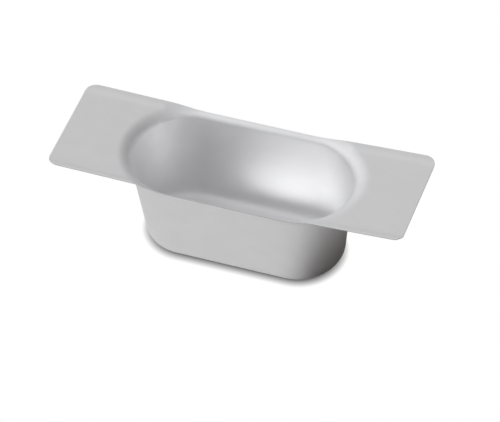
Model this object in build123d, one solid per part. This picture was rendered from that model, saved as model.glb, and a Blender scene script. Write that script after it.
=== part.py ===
from build123d import *
import math
import os

# An open weighing boat pressed from one strip of thin aluminium: a deep well
# with round ends, and a tab at each end to hold it by.
# Millimetres. The floor stands on z = 0, the strip runs along X, and the
# origin is the middle of the floor's underside.

sheet = 0.2                 # thickness of the metal

strip_length = 80.0
strip_width = 25.5
corner_radius = 2.6         # plan corners of the tabs

tab_height = 23.4           # top face of the strip beside the well
bend_offset = 7.3           # from the centre of a round end out to the tab's bend line
bend_radius = 40.0
left_tilt = 1.0             # degrees that each tab turns up beyond its bend line
right_tilt = 3.3

well_centres = 25.4         # between the centres of the two round ends
mouth_margin = 0.56         # strip left beside the walls, where they would meet the tabs' height
wall_draft = 6.3            # degrees that the walls lean outward
foot_radius = 2.3           # outside of the rounded edge round the floor
rim_radius = 3.0            # top face of the roll from the tabs into the well

lip_height = 0.5            # rise of the long edges of the tabs
lip_band = 1.3              # level band along each long edge
lip_slope = 0.42            # rise for each millimetre of the riser inside that band
lip_gap = 0.3               # least distance from the riser to the rim's roll

reach = 8.0                 # how far the two forms reach past the strip

draft = math.radians(wall_draft)
end_centre = well_centres / 2
tab_bend = end_centre + bend_offset


def wall_radius(inset, height):
    # Half the well's width at a height, on the form that lies one inset inside the metal.
    mouth = strip_width / 2 - mouth_margin
    return mouth - (tab_height - height) * math.tan(draft) - inset / math.cos(draft)


def roll_edge():
    # Distance from an end's centre to where the rim's roll meets the flat of a tab.
    turn = rim_radius * (1 - math.sin(draft))
    return wall_radius(sheet, tab_height - turn) + rim_radius * math.cos(draft)


def deck(height, past):
    # All the space above the strip's bent surface.
    end = strip_length / 2 + past
    left_rise = (end - tab_bend) * math.tan(math.radians(left_tilt))
    right_rise = (end - tab_bend) * math.tan(math.radians(right_tilt))
    surface = [(-end, height + left_rise), (-tab_bend, height), (tab_bend, height), (end, height + right_rise)]
    top = tab_height + past
    side_view = make_face(Plane.XZ * Polyline(*surface, (end, top), (-end, top), close=True))
    bends = [v for v in side_view.vertices() if abs(v.X) < tab_bend + 1]
    return extrude(fillet(bends, bend_radius), amount=strip_width / 2 + past, both=True)


def plug(inset):
    # What would fill the well to a little above the strip.
    foot = Pos(0, 0, inset) * SlotCenterToCenter(well_centres, 2 * wall_radius(inset, inset))
    body = extrude(foot, amount=tab_height + 2 - inset, taper=-wall_draft)
    return fillet(body.edges().group_by(Axis.Z)[0], foot_radius - inset)


def mouth_edges(body):
    # The sharp edge all round, where the plug comes through the strip.
    found = []
    mouth = wall_radius(0, tab_height)
    for edge in body.edges():
        middle = edge @ 0.5
        out = math.hypot(max(abs(middle.X) - end_centre, 0), middle.Y)
        if middle.Z > tab_height - 1 and abs(out - mouth) < rim_radius / 4:
            found.append(edge)
    return found


def lip_spaces(height):
    # What the raised long edges of the tabs take from below the deck.
    spaces = []
    deep = 0.1
    band = strip_width / 2 - lip_band
    edge = strip_width / 2 + reach
    riser_foot = band - (lip_height + deep) / lip_slope
    ring = roll_edge() + lip_gap
    above = lip_height + 1
    for side, tilt in ((-1, left_tilt), (1, right_tilt)):
        rise = math.radians(tilt)
        tab = Plane(
            origin=(side * tab_bend, 0, height),
            x_dir=(side * math.cos(rise), 0, math.sin(rise)),
            z_dir=(-side * math.sin(rise), 0, math.cos(rise)),
        )
        round_end = Pos(-bend_offset, 0, (above - deep) / 2) * Cone(
            ring - deep / lip_slope, ring + above / lip_slope, above + deep
        )
        for y in (-1, 1):
            outline = Polyline(
                (y * riser_foot, -deep), (y * band, lip_height), (y * edge, lip_height), (y * edge, -deep), close=True
            )
            run = extrude(make_face(Plane.YZ * outline), amount=strip_length / 2 + reach, both=True)
            run &= Pos(strip_length / 2, 0, 0) * Box(strip_length, 4 * strip_width, 4 * above)
            spaces.append(tab.location * (run - round_end))
    return spaces


def form(inset, past):
    # The space over the metal's lower face (inset 0), or over its upper face (inset of one sheet).
    height = tab_height - sheet + inset
    body = deck(height, past) + plug(inset)
    body = fillet(mouth_edges(body), rim_radius - sheet + inset)
    for space in lip_spaces(height):
        body -= space
    return body


def boat():
    outline = extrude(RectangleRounded(strip_length, strip_width, corner_radius), amount=tab_height + reach / 2)
    metal = (form(0, reach) - form(sheet, reach + 1)) & outline
    return metal.solid()


weighing_boat = boat()
weighing_boat.label = "weighing_boat"
print("solids", len(weighing_boat.solids()), "valid", weighing_boat.is_valid)
print("volume", round(weighing_boat.volume, 2), "faces", len(weighing_boat.faces()))
os.makedirs("parts", exist_ok=True)
export_step(weighing_boat, "parts/weighing_boat.step")
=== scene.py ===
import math
import bpy
from mathutils import Matrix, Vector, noise


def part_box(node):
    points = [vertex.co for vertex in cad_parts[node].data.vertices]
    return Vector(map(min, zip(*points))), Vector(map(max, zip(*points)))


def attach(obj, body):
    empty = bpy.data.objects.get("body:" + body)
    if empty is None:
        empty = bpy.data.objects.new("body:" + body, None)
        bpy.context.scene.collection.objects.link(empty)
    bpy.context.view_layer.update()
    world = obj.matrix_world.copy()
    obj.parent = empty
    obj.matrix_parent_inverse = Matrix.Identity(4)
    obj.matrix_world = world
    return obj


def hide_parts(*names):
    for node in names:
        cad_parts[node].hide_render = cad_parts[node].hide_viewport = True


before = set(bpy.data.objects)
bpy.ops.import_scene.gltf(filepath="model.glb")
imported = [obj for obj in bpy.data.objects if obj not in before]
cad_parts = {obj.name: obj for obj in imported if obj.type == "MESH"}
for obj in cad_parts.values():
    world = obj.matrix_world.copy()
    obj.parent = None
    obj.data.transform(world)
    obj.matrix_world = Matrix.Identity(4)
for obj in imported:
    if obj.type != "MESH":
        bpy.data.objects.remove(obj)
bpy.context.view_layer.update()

mm = 0.001

print("weighing boat: frame loaded")


# one section of the sheet is carried round the strip's edge, once for each face
boatSizes = {
    "sheet": 0.2 * mm,
    "inset": 0.001 * mm,         # keeps the edges just inside the frame's box
    "cornerRadius": 2.6 * mm,
    "frontCorner": 1.8 * mm,     # the tab's front corner at the right is cut tighter
    "tabHeight": 23.4 * mm,
    "endCentre": 12.7 * mm,      # centre of each round end of the well
    "bendOffset": 7.3 * mm,      # from there out to the tab's bend line
    "bendSoftness": 1.0 * mm,
    "leftTilt": 1.0,             # in degrees, like wallDraft
    "rightTilt": 3.3,
    "mouthMargin": 0.56 * mm,
    "wallDraft": 6.3,
    "footRadius": 2.3 * mm,
    "rimRadius": 3.0 * mm,
    "rightFoot": 0.8 * mm,       # both curves are softer round the right end
    "rightRim": 1.1 * mm,
    "backRim": -0.8 * mm,        # the rim is tighter along the back
    "fadeDepth": 9.0 * mm,       # the walls take up the tabs' tilt over this depth
    "edgeBreak": 0.03 * mm,
    "edgeBand": 0.12 * mm,       # last ring of faces inside the cut edge
    "backLip": (0.36 * mm, 2.3 * mm),    # height, and width from the long edge in to the crease
    "frontLip": (0.42 * mm, 1.3 * mm),
    "lipRiser": 0.7,             # share of that width that rises
    "lipRing": 13.6 * mm,        # the crease's radius where it turns round the well
    "creaseSoftness": 0.25,
    "waveHeight": 0.025 * mm,    # hand-flattened waviness
    "waveLength": 11.0 * mm,
    "edgeStep": 0.42 * mm,
    "sideStep": 1.1 * mm,
    "cornerTurns": 12,
    "floorRings": 5,
    "firstRing": 0.4,            # the floor's first ring, as a share of one ring's width
    "footRings": 7,
    "wallRings": 14,
    "rimRings": 48,
}


def outlineQuarter(s, halfLength, halfWidth, r):
    # from the middle of an end, round a corner of radius r, almost to the middle of the long side
    quarter = []
    count = max(2, round((halfWidth - r) / s["edgeStep"]))
    for i in range(count):
        quarter.append((halfLength, (halfWidth - r) * i / count))
    for i in range(s["cornerTurns"]):
        a = math.pi / 2 * i / s["cornerTurns"]
        quarter.append((halfLength - r + r * math.cos(a), halfWidth - r + r * math.sin(a)))
    run = halfLength - r - s["endCentre"]
    count = round(run / s["edgeStep"])
    for i in range(count):
        quarter.append((halfLength - r - run * i / count, halfWidth))
    count = round(s["endCentre"] / s["sideStep"])
    for i in range(count):
        quarter.append((s["endCentre"] * (1 - i / count), halfWidth))
    return quarter


def boatOutline(s, halfLength, halfWidth):
    # the strip's edge, anticlockwise from the middle of the right end
    quarter = outlineQuarter(s, halfLength, halfWidth, s["cornerRadius"])
    tighter = outlineQuarter(s, halfLength, halfWidth, s["frontCorner"])
    back = quarter + [(0.0, halfWidth)] + [(-x, y) for x, y in reversed(quarter[1:])]
    front = [(-x, -y) for x, y in quarter] + [(0.0, -halfWidth)]
    return back + front + [(x, -y) for x, y in reversed(tighter[1:])]


def boatProfile(s, edgeReach, under, atRight, atBack):
    # one section of a face from the floor's middle to the edge, as pairs of reach and height;
    # under is 0 for the upper face and the sheet's thickness for the lower one
    draft = math.radians(s["wallDraft"])
    mouth = s["halfWidth"] - s["mouthMargin"] - s["sheet"] / math.cos(draft)

    def wallReach(z):
        return mouth - (s["tabHeight"] - z) * math.tan(draft)

    footMiddle = s["footRadius"] + atRight * s["rightFoot"]
    foot = footMiddle - s["sheet"]
    footReach = wallReach(footMiddle) - foot / math.cos(draft)
    foot += under
    roll = s["rimRadius"] + atRight * s["rightRim"] + atBack * s["backRim"]
    rollMiddle = s["tabHeight"] - roll
    rollReach = wallReach(rollMiddle) + roll / math.cos(draft)
    roll -= under
    points = []
    for i in range(s["floorRings"]):
        share = (i + s["firstRing"]) / (s["floorRings"] + s["firstRing"])
        points.append((footReach * share, s["sheet"] - under))
    for i in range(s["footRings"]):
        a = -math.pi / 2 + (math.pi / 2 - draft) * i / s["footRings"]
        points.append((footReach + foot * math.cos(a), footMiddle + foot * math.sin(a)))
    low = (footReach + foot * math.cos(draft), footMiddle - foot * math.sin(draft))
    high = (rollReach - roll * math.cos(draft), rollMiddle + roll * math.sin(draft))
    for i in range(s["wallRings"]):
        t = i / s["wallRings"]
        points.append((low[0] + (high[0] - low[0]) * t, low[1] + (high[1] - low[1]) * t))
    full = math.pi / 2 - draft
    if edgeReach < rollReach:
        rollTurn = full - math.asin((rollReach - edgeReach) / roll)
        flat = 0.0
    else:
        rollTurn = full
        flat = edgeReach - rollReach
    total = roll * rollTurn + flat

    def rimPoint(d):
        if d <= roll * rollTurn:
            a = full - d / roll
            return rollReach - roll * math.sin(a), rollMiddle + roll * math.cos(a)
        return rollReach + d - roll * rollTurn, s["tabHeight"] - under

    inner = total - s["edgeBand"]
    for i in range(s["rimRings"] + 1):
        points.append(rimPoint(inner * i / s["rimRings"]))
    points.append(rimPoint(total - s["edgeBreak"]))
    corner = rimPoint(total)
    points.append((corner[0], corner[1] + (s["edgeBreak"] if under else -s["edgeBreak"])))
    return points


def tabRise(s, x, y):
    # how far the tabs turn up, and their raised long edges
    tilt = math.radians(s["rightTilt"] if x > 0 else s["leftTilt"])
    past = abs(x) - s["endCentre"] - s["bendOffset"]
    rise = math.tan(tilt) * (past + math.hypot(past, s["bendSoftness"])) / 2
    fromCentre = math.hypot(max(abs(x) - s["endCentre"], 0), y)
    height, width = s["backLip"] if y > 0 else s["frontLip"]
    t = min(abs(y) - (s["halfWidth"] - width), fromCentre - s["lipRing"]) / width
    t = min(1.0, (t + math.hypot(t, s["creaseSoftness"])) / 2 / s["lipRiser"])
    if abs(x) > s["endCentre"]:
        rise += height * (1 - (1 - t) ** 2)
    return rise


def skinPoints(s, outline, under):
    # points of one face, and where each would lie if the sheet were unrolled flat
    fadeFrom = s["tabHeight"] - s["fadeDepth"]
    fadeRange = s["tabHeight"] - s["rimRadius"] - fadeFrom
    points, unrolled = [], []
    for x, y in outline:
        centre = Vector((max(-s["endCentre"], min(s["endCentre"], x)), 0))
        out = Vector((x, y)) - centre
        reach = out.length
        out.normalize()
        run, last = 0.0, None
        for r, z in boatProfile(s, reach, under, max(0.0, out.x) ** 2, max(0.0, out.y) ** 2):
            run += math.hypot(r - last[0], z - last[1]) if last else r
            last = (r, z)
            place = centre + out * r
            t = max(0.0, min(1.0, (z + under - fadeFrom) / fadeRange))
            fade = t * t * (3 - 2 * t)
            wave = noise.noise(Vector((place.x, place.y, z + under)) / s["waveLength"])
            rise = tabRise(s, place.x, place.y) + wave * s["waveHeight"]
            points.append((place.x, place.y, z + fade * rise))
            unrolled.append((centre.x + out.x * run, centre.y + out.y * run, run))
    return points, unrolled


def makeBoat():
    s = dict(boatSizes)
    low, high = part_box("weighing_boat")
    s["halfLength"] = (high.x - low.x) / 2 - s["inset"]
    s["halfWidth"] = (high.y - low.y) / 2 - s["inset"]
    outline = boatOutline(s, s["halfLength"], s["halfWidth"])
    upper, upperPlace = skinPoints(s, outline, 0.0)
    lower, lowerPlace = skinPoints(s, outline, s["sheet"])
    count = len(outline)
    rings = len(upper) // count
    faces, edgeFaces = [], []
    for i in range(count):
        j = (i + 1) % count
        a, b = i * rings, j * rings
        for k in range(rings - 1):
            kind = faces if k < rings - 2 else edgeFaces
            face = (a + k, a + k + 1, b + k + 1, b + k)
            kind.append(face)
            kind.append(tuple(p + len(upper) for p in reversed(face)))
        edge, nextEdge = a + rings - 1, b + rings - 1
        edgeFaces.append((edge, edge + len(upper), nextEdge + len(upper), nextEdge))
    faces.append(tuple(i * rings for i in range(count)))
    faces.append(tuple(len(upper) + i * rings for i in reversed(range(count))))
    mesh = bpy.data.meshes.new("pressedBoat")
    mesh.from_pydata(upper + lower, [], faces + edgeFaces)
    mesh.update()
    place = mesh.attributes.new("stripPlace", "FLOAT_VECTOR", "POINT")
    place.data.foreach_set("vector", [c for p in upperPlace + lowerPlace for c in p])
    mesh.shade_smooth()
    for face in mesh.polygons[len(faces):]:
        face.material_index = 1
    boat = bpy.data.objects.new("pressedBoat", mesh)
    bpy.context.scene.collection.objects.link(boat)
    return boat


def finishBoat(boat):
    boat.data.materials.append(satinAluminium())
    boat.data.materials.append(shearedEdgeAndShade())
    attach(boat, "root")
    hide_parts("weighing_boat")


metalLook = {
    "paler": (0.93, 0.93, 0.94),
    "darker": (0.88, 0.88, 0.89),
    "roughness": (0.50, 0.62),
    # the cut edge is darker than the faces partly as duller sheared metal and partly as painted shade:
    # the dark lines along the rim and the tabs' edges
    "edgeShadedPaler": (0.66, 0.66, 0.67),
    "edgeShadedDarker": (0.6072, 0.6072, 0.6164),
    "edgeRoughness": (0.45, 0.55),
    "bumpHeight": 0.006 * mm,
    "bumpStrength": 0.5,
    "grainLength": 70,           # noise scale along the strip, and across it
    "grainFineness": 2600,
    "lineDetail": (3.0, 0.6),    # octaves, and how strong each is against the last
    "cloudScale": 160.0,
    "cloudDetail": (3.0, 0.5),
}


def node(tree, kind, place, **values):
    made = tree.nodes.new(kind)
    made.location = place
    for name, value in values.items():
        if name.startswith("in_"):
            key = name[3:]
            made.inputs[int(key) if key.isdigit() else key].default_value = value
        else:
            setattr(made, name, value)
    return made


def rollingGrain():
    # fine lines left along the strip by the rolls, and a slight cloudiness
    group = bpy.data.node_groups.new("rollingGrain", "ShaderNodeTree")
    for name, value in (("Length", metalLook["grainLength"]), ("Fineness", metalLook["grainFineness"])):
        socket = group.interface.new_socket(name, in_out="INPUT", socket_type="NodeSocketFloat")
        socket.default_value = value
    for name in ("Lines", "Cloud"):
        group.interface.new_socket(name, in_out="OUTPUT", socket_type="NodeSocketFloat")
    start = node(group, "NodeGroupInput", (-900, 0))
    end = node(group, "NodeGroupOutput", (500, 0))
    place = node(group, "ShaderNodeAttribute", (-900, 300), attribute_name="stripPlace")
    scale = node(group, "ShaderNodeCombineXYZ", (-700, 0))
    stretch = node(group, "ShaderNodeVectorMath", (-500, 200), operation="MULTIPLY")
    lines = node(group, "ShaderNodeTexNoise", (-300, 200), in_Scale=1.0)
    cloud = node(group, "ShaderNodeTexNoise", (-300, -100), in_Scale=metalLook["cloudScale"])
    for texture, detail in ((lines, "lineDetail"), (cloud, "cloudDetail")):
        texture.inputs["Detail"].default_value = metalLook[detail][0]
        texture.inputs["Roughness"].default_value = metalLook[detail][1]
    link = group.links.new
    link(start.outputs["Length"], scale.inputs["X"])
    link(start.outputs["Fineness"], scale.inputs["Y"])
    link(place.outputs["Vector"], stretch.inputs[0])
    link(scale.outputs["Vector"], stretch.inputs[1])
    link(stretch.outputs["Vector"], lines.inputs["Vector"])
    link(place.outputs["Vector"], cloud.inputs["Vector"])
    link(lines.outputs["Fac"], end.inputs["Lines"])
    link(cloud.outputs["Fac"], end.inputs["Cloud"])
    return group


grainGroup = rollingGrain()


def metalMaterial(name, paler, darker, roughness):
    made = bpy.data.materials.new(name)
    made.use_nodes = True
    tree = made.node_tree
    link = tree.links.new
    shader = tree.nodes["Principled BSDF"]
    shader.inputs["Metallic"].default_value = 1.0
    grain = node(tree, "ShaderNodeGroup", (-900, 0), node_tree=grainGroup)
    colour = node(tree, "ShaderNodeMix", (-500, 200), data_type="RGBA")
    colour.inputs["A"].default_value = (*darker, 1)
    colour.inputs["B"].default_value = (*paler, 1)
    rough = node(tree, "ShaderNodeMapRange", (-500, -50))
    rough.inputs["To Min"].default_value = roughness[0]
    rough.inputs["To Max"].default_value = roughness[1]
    bump = node(tree, "ShaderNodeBump", (-300, -300), in_Strength=metalLook["bumpStrength"])
    bump.inputs["Distance"].default_value = metalLook["bumpHeight"]
    link(grain.outputs["Cloud"], colour.inputs["Factor"])
    link(grain.outputs["Lines"], rough.inputs["Value"])
    link(grain.outputs["Lines"], bump.inputs["Height"])
    link(colour.outputs["Result"], shader.inputs["Base Color"])
    link(rough.outputs["Result"], shader.inputs["Roughness"])
    link(bump.outputs["Normal"], shader.inputs["Normal"])
    return made


def satinAluminium():
    look = metalLook
    return metalMaterial("satinAluminium", look["paler"], look["darker"], look["roughness"])


def shearedEdgeAndShade():
    # the cut edge's metal, darkened partly as painted shade along the rim and the tabs' edges
    look = metalLook
    return metalMaterial("shearedEdgeAndShade", look["edgeShadedPaler"], look["edgeShadedDarker"], look["edgeRoughness"])


studio = {
    "floorSize": 4.0,            # from its middle to each side
    "floorPale": (0.93, 0.922, 0.91),    # as it lights the metal and is mirrored in it
    "shadowReach": 1.8 * mm,     # of the contact shadow painted on the floor
    "shadowDepth": 0.95,         # how far the openness over the floor falls before it shows black
    "shadowSamples": 16,
    "tent": 0.665,               # brightness of the white tent round the boat
    "tentLean": (-0.365, -0.155, -0.086),   # how much brighter it is toward each axis
    "boxDirection": (-0.35, -0.75, 0.55),    # from the boat to the soft light
    "boxDistance": 0.7,
    "boxSize": (0.9, 0.6),
    "boxBrightness": 0.15,
    "boxAim": (0, 0, 0.015),
    "fillPlace": (0.0063, 0.0, 0.003),   # light thrown up in the well, as from a white sample
    "fillSize": (0.0264, 0.013),
    "fillBrightness": 0.97,
    "shadowCardCorner": (0.008, -0.024),   # left front corner of the black card beside the right end, which is painted shadow
    "shadowCardReach": 0.08,
    "shadowCardHeight": 0.05 * mm,
    "shadowCardMiddle": (0.027, 0.001),
    "shadowCardDense": 0.011,          # solid out to this distance from its middle
    "shadowCardThin": 0.025,           # from this distance on, only the share below is left
    "shadowCardFar": 0.2,
    "shadowCardColour": (0.05, 0.036, 0.029),
    "shadowCardFade": (0.014, 0.010),  # its left and front edges fade in over these widths
}


def softbox():
    # a large soft light at the front left
    light = bpy.data.lights.new("frontLeft", "AREA")
    light.shape = "RECTANGLE"
    light.size, light.size_y = studio["boxSize"]
    light.energy = studio["boxBrightness"] * light.size * light.size_y * math.pi
    box = bpy.data.objects.new("frontLeft", light)
    toward = Vector(studio["boxDirection"]).normalized()
    box.location = Vector(studio["boxAim"]) + toward * studio["boxDistance"]
    box.rotation_euler = toward.to_track_quat("Z", "Y").to_euler()
    box.visible_camera = False
    bpy.context.scene.collection.objects.link(box)


def wellFill():
    # a small light low in the well, facing up
    light = bpy.data.lights.new("wellFill", "AREA")
    light.shape = "ELLIPSE"
    light.size, light.size_y = studio["fillSize"]
    light.energy = studio["fillBrightness"] * light.size * light.size_y * math.pi
    fill = bpy.data.objects.new("wellFill", light)
    fill.location = studio["fillPlace"]
    fill.rotation_euler = (math.pi, 0, 0)
    fill.visible_camera = False
    bpy.context.scene.collection.objects.link(fill)


def paintedShadowCard():
    # a black card lying beside the right end, which only the metal mirrors: painted shadow, standing in
    # for the boat's own shadow on the floor there, thinning with distance from the boat
    x, y = studio["shadowCardCorner"]
    far = studio["shadowCardReach"]
    mesh = bpy.data.meshes.new("paintedShadowCard")
    height = studio["shadowCardHeight"]
    corners = [(x, y, height), (x + far, y, height), (x + far, y + far, height), (x, y + far, height)]
    mesh.from_pydata(corners, [], [(0, 1, 2, 3)])
    black = bpy.data.materials.new("paintedShadowBlack")
    black.use_nodes = True
    tree = black.node_tree
    tree.nodes.remove(tree.nodes["Principled BSDF"])
    spot = node(tree, "ShaderNodeTexCoord", (-900, 0))
    parts = node(tree, "ShaderNodeSeparateXYZ", (-700, 0))
    away = node(tree, "ShaderNodeVectorMath", (-700, -300), operation="DISTANCE")
    away.inputs[1].default_value = (*studio["shadowCardMiddle"], height)
    fades = []
    for axis, start, width in (("X", x, studio["shadowCardFade"][0]), ("Y", y, studio["shadowCardFade"][1])):
        place = (-500, 200 * len(fades))
        fade = node(tree, "ShaderNodeMapRange", place, interpolation_type="SMOOTHSTEP")
        fade.inputs["From Min"].default_value = start
        fade.inputs["From Max"].default_value = start + width
        tree.links.new(parts.outputs[axis], fade.inputs["Value"])
        fades.append(fade)
    thin = node(tree, "ShaderNodeMapRange", (-500, -300), interpolation_type="SMOOTHSTEP")
    thin.inputs["From Min"].default_value = studio["shadowCardDense"]
    thin.inputs["From Max"].default_value = studio["shadowCardThin"]
    thin.inputs["To Min"].default_value = 1
    thin.inputs["To Max"].default_value = studio["shadowCardFar"]
    corner = node(tree, "ShaderNodeMath", (-300, 0), operation="MULTIPLY")
    both = node(tree, "ShaderNodeMath", (-200, 0), operation="MULTIPLY")
    clear = node(tree, "ShaderNodeBsdfTransparent", (-300, 200))
    dark = node(tree, "ShaderNodeBsdfDiffuse", (-300, -200), in_Color=(*studio["shadowCardColour"], 1))
    mix = node(tree, "ShaderNodeMixShader", (-100, 0))
    link = tree.links.new
    link(spot.outputs["Object"], parts.inputs["Vector"])
    link(spot.outputs["Object"], away.inputs[0])
    link(away.outputs["Value"], thin.inputs["Value"])
    link(fades[0].outputs["Result"], corner.inputs[0])
    link(fades[1].outputs["Result"], corner.inputs[1])
    link(corner.outputs["Value"], both.inputs[0])
    link(thin.outputs["Result"], both.inputs[1])
    link(both.outputs["Value"], mix.inputs["Fac"])
    link(clear.outputs["BSDF"], mix.inputs[1])
    link(dark.outputs["BSDF"], mix.inputs[2])
    link(mix.outputs["Shader"], tree.nodes["Material Output"].inputs["Surface"])
    mesh.materials.append(black)
    card = bpy.data.objects.new("paintedShadowCard", mesh)
    card.visible_camera = False
    card.visible_diffuse = False
    card.visible_shadow = False
    bpy.context.scene.collection.objects.link(card)


def makeFloor():
    # white to the camera with a painted contact shadow, darker where the floor is less open, and matt
    # paper to everything else
    size = studio["floorSize"]
    mesh = bpy.data.meshes.new("floor")
    corners = [(-size, -size, 0), (size, -size, 0), (size, size, 0), (-size, size, 0)]
    mesh.from_pydata(corners, [], [(0, 1, 2, 3)])
    floor = bpy.data.objects.new("floor", mesh)
    bpy.context.scene.collection.objects.link(floor)
    paper = bpy.data.materials.new("palePaper")
    paper.use_nodes = True
    tree = paper.node_tree
    tree.nodes.remove(tree.nodes["Principled BSDF"])
    light = node(tree, "ShaderNodeLightPath", (-300, 300))
    openness = node(tree, "ShaderNodeAmbientOcclusion", (-900, -100))
    openness.samples = studio["shadowSamples"]
    openness.inputs["Distance"].default_value = studio["shadowReach"]
    # painted shadow: the floor's glow falls where the boat closes it in
    shade = node(tree, "ShaderNodeMapRange", (-600, -100))
    shade.inputs["From Min"].default_value = 1 - studio["shadowDepth"]
    matt = node(tree, "ShaderNodeBsdfDiffuse", (-300, 100))
    matt.inputs["Color"].default_value = (*studio["floorPale"], 1)
    white = node(tree, "ShaderNodeEmission", (-300, -100))
    mix = node(tree, "ShaderNodeMixShader", (0, 0))
    link = tree.links.new
    link(openness.outputs["AO"], shade.inputs["Value"])
    link(shade.outputs["Result"], white.inputs["Strength"])
    link(light.outputs["Is Camera Ray"], mix.inputs["Fac"])
    link(matt.outputs["BSDF"], mix.inputs[1])
    link(white.outputs["Emission"], mix.inputs[2])
    link(mix.outputs["Shader"], tree.nodes["Material Output"].inputs["Surface"])
    mesh.materials.append(paper)


def makeTent():
    # even brightness all round, leaning a little toward one side
    world = bpy.data.worlds.new("studioSky")
    world.use_nodes = True
    tree = world.node_tree
    toward = node(tree, "ShaderNodeTexCoord", (-800, 0))
    lean = node(tree, "ShaderNodeVectorMath", (-600, 0), operation="DOT_PRODUCT")
    lean.inputs[1].default_value = studio["tentLean"]
    sky = node(tree, "ShaderNodeMath", (-400, 0), operation="ADD", in_1=studio["tent"])
    back = tree.nodes["Background"]
    back.inputs["Color"].default_value = (1, 1, 1, 1)
    link = tree.links.new
    link(toward.outputs["Generated"], lean.inputs[0])
    link(lean.outputs["Value"], sky.inputs[0])
    link(sky.outputs["Value"], back.inputs["Strength"])
    bpy.context.scene.world = world


cameraSettings = {
    "azimuth": 22.35,
    "elevation": 46.5,
    "roll": -3.69,
    "distance": 0.7334,
    "lens": 244.4,
    "sensor": 36,
    "clip": (0.05, 20),
    "aim": (0, 0, 0.012),
    "aside": 1.42 * mm,          # moved this far without turning, to place the boat in the picture
    "below": 2.355 * mm,
}


def makeCamera():
    c = cameraSettings
    a, e, roll = (math.radians(c[k]) for k in ("azimuth", "elevation", "roll"))
    back = Vector((math.sin(a) * math.cos(e), -math.cos(a) * math.cos(e), math.sin(e)))
    across = Vector((math.cos(a), math.sin(a), 0))
    up = back.cross(across)
    right = across * math.cos(roll) + up * math.sin(roll)
    over = up * math.cos(roll) - across * math.sin(roll)
    data = bpy.data.cameras.new("camera")
    data.sensor_width = c["sensor"]
    data.lens = c["lens"]
    data.clip_start, data.clip_end = c["clip"]
    camera = bpy.data.objects.new("camera", data)
    place = Vector(c["aim"]) + right * c["aside"] - over * c["below"] + back * c["distance"]
    turn = Matrix((right, over, back)).transposed().to_4x4()
    camera.matrix_world = Matrix.Translation(place) @ turn
    bpy.context.scene.collection.objects.link(camera)
    bpy.context.scene.camera = camera


bpy.context.scene.view_settings.view_transform = "Standard"
makeCamera()
print("camera placed")
makeFloor()
makeTent()
softbox()
wellFill()
# the card beside the right end is painted shadow, seen only in the metal's reflection
paintedShadowCard()
print("studio lit")
boat = makeBoat()
finishBoat(boat)
print("boat pressed:", len(boat.data.vertices), "points")
